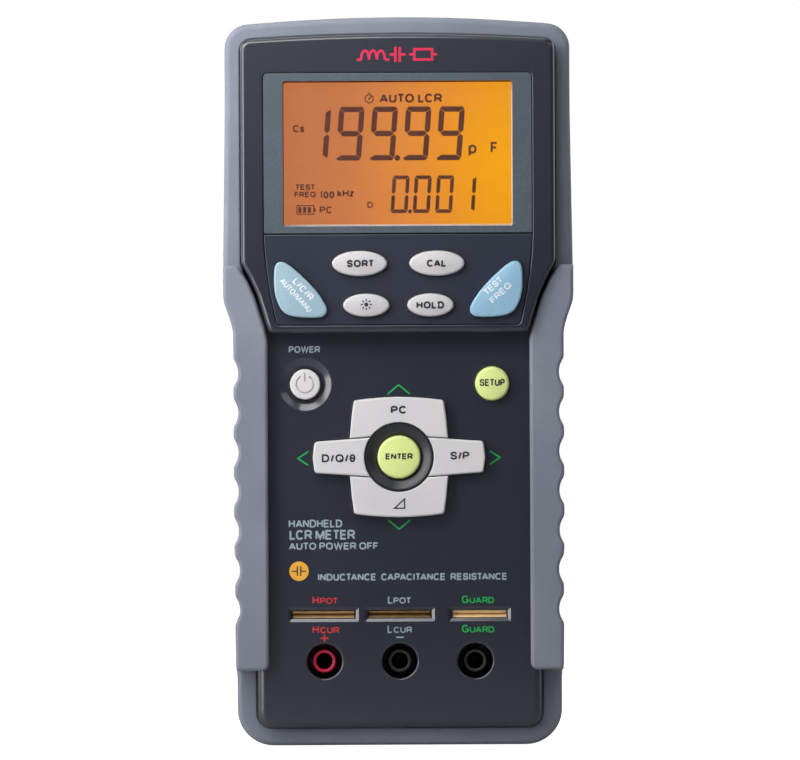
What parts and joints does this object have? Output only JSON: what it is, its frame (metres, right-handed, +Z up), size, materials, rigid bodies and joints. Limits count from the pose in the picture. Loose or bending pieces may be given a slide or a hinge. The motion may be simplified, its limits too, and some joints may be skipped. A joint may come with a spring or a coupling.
{
  "type": "lcr meter",
  "caption": "Handheld component meter with backlit display, keypad, contact slots and test sockets, in a ribbed rubber holster with a tilt stand.",
  "frame": {"origin": "centre of the bounding box seen from above, at the lowest face", "axes": "+X to the right of a person facing the display, +Y from the display towards the back, +Z up along the instrument's length"},
  "size_m": [0.0884, 0.042, 0.184],
  "materials": {
    "holster": "satin elastomer",
    "case": "fine-grained moulded",
    "window": "clear window with a printed border",
    "lcd": "backlit amber display",
    "light_guide": "clear moulded",
    "white_plastic": "smooth moulded",
    "green_key": "smooth moulded",
    "blue_key": "smooth moulded",
    "silicone": "soft moulded",
    "board": "solder mask",
    "brass": "plated contact",
    "steel": "zinc plated",
    "black_plastic": "moulded",
    "red_plastic": "moulded",
    "battery_wrap": "foil wrapped",
    "label": "blank laminated label",
    "infrared": "dark red tinted"
  },
  "bodies": {
    "housing": {"holster": "holster", "front_case": "case", "rear_case": "case", "keypad_fascia": "case", "nav_ring": "case", "display_window": "window", "lcd_panel": "lcd", "light_guide": "light_guide", "display_frame": "white_plastic", "keypad_sheet": "silicone", "zebra_strip": "silicone", "main_board": "board", "socket_contact_high": "brass", "socket_contact_low": "brass", "socket_contact_guard": "brass", "slot_contact_high_upper": "brass", "slot_contact_high_lower": "brass", "slot_contact_low_upper": "brass", "slot_contact_low_lower": "brass", "slot_contact_guard_upper": "brass", "slot_contact_guard_lower": "brass", "shield_can": "steel", "case_screw_1": "steel", "case_screw_2": "steel", "case_screw_3": "steel", "case_screw_4": "steel", "board_screw_left": "steel", "board_screw_right": "steel", "stand_pin": "steel", "dc_jack_pin": "steel", "socket_low": "black_plastic", "socket_guard": "black_plastic", "measurement_chip": "black_plastic", "controller_chip": "black_plastic", "buzzer": "black_plastic", "dc_jack": "black_plastic", "battery_clip": "black_plastic", "battery_lead_black": "black_plastic", "socket_high": "red_plastic", "battery_lead_red": "red_plastic", "battery": "battery_wrap", "infrared_window": "infrared"},
    "button_sort": {"key_sort": "white_plastic"},
    "button_cal": {"key_cal": "white_plastic"},
    "button_backlight": {"key_backlight": "white_plastic"},
    "button_hold": {"key_hold": "white_plastic"},
    "button_mode": {"key_mode": "blue_key"},
    "button_frequency": {"key_frequency": "blue_key"},
    "button_power": {"key_power": "white_plastic"},
    "button_setup": {"key_setup": "green_key"},
    "button_enter": {"key_enter": "green_key"},
    "button_up": {"key_up": "white_plastic"},
    "button_down": {"key_down": "white_plastic"},
    "button_left": {"key_left": "white_plastic"},
    "button_right": {"key_right": "white_plastic"},
    "stand": {"tilt_stand": "case"},
    "battery_cover": {"battery_door": "case", "battery_door_screw": "steel", "rating_label": "label"}
  },
  "joints": [
    {"name": "press_sort", "type": "slide", "parent": "housing", "child": "button_sort", "axis": [0, 1, 0], "range_m": [0, 0.0009], "stiffness_N_per_m": 600, "springref_m": -0.0006},
    {"name": "press_cal", "type": "slide", "parent": "housing", "child": "button_cal", "axis": [0, 1, 0], "range_m": [0, 0.0009], "stiffness_N_per_m": 600, "springref_m": -0.0006},
    {"name": "press_backlight", "type": "slide", "parent": "housing", "child": "button_backlight", "axis": [0, 1, 0], "range_m": [0, 0.0009], "stiffness_N_per_m": 600, "springref_m": -0.0006},
    {"name": "press_hold", "type": "slide", "parent": "housing", "child": "button_hold", "axis": [0, 1, 0], "range_m": [0, 0.0009], "stiffness_N_per_m": 600, "springref_m": -0.0006},
    {"name": "press_mode", "type": "slide", "parent": "housing", "child": "button_mode", "axis": [0, 1, 0], "range_m": [0, 0.0009], "stiffness_N_per_m": 600, "springref_m": -0.0006},
    {"name": "press_frequency", "type": "slide", "parent": "housing", "child": "button_frequency", "axis": [0, 1, 0], "range_m": [0, 0.0009], "stiffness_N_per_m": 600, "springref_m": -0.0006},
    {"name": "press_power", "type": "slide", "parent": "housing", "child": "button_power", "axis": [0, 1, 0], "range_m": [0, 0.0009], "stiffness_N_per_m": 600, "springref_m": -0.0006},
    {"name": "press_setup", "type": "slide", "parent": "housing", "child": "button_setup", "axis": [0, 1, 0], "range_m": [0, 0.0009], "stiffness_N_per_m": 600, "springref_m": -0.0006},
    {"name": "press_enter", "type": "slide", "parent": "housing", "child": "button_enter", "axis": [0, 1, 0], "range_m": [0, 0.0009], "stiffness_N_per_m": 600, "springref_m": -0.0006},
    {"name": "press_up", "type": "slide", "parent": "housing", "child": "button_up", "axis": [0, 1, 0], "range_m": [0, 0.0009], "stiffness_N_per_m": 600, "springref_m": -0.0006},
    {"name": "press_down", "type": "slide", "parent": "housing", "child": "button_down", "axis": [0, 1, 0], "range_m": [0, 0.0009], "stiffness_N_per_m": 600, "springref_m": -0.0006},
    {"name": "press_left", "type": "slide", "parent": "housing", "child": "button_left", "axis": [0, 1, 0], "range_m": [0, 0.0009], "stiffness_N_per_m": 600, "springref_m": -0.0006},
    {"name": "press_right", "type": "slide", "parent": "housing", "child": "button_right", "axis": [0, 1, 0], "range_m": [0, 0.0009], "stiffness_N_per_m": 600, "springref_m": -0.0006},
    {"name": "stand_hinge", "type": "hinge", "parent": "housing", "child": "stand", "pos_m": [0, 0.0184, 0.1235], "axis": [1, 0, 0], "range_deg": [0, 50]},
    {"name": "battery_cover_lift", "type": "slide", "parent": "housing", "child": "battery_cover", "axis": [0, 1, 0], "range_m": [0, 0.03]}
  ]
}
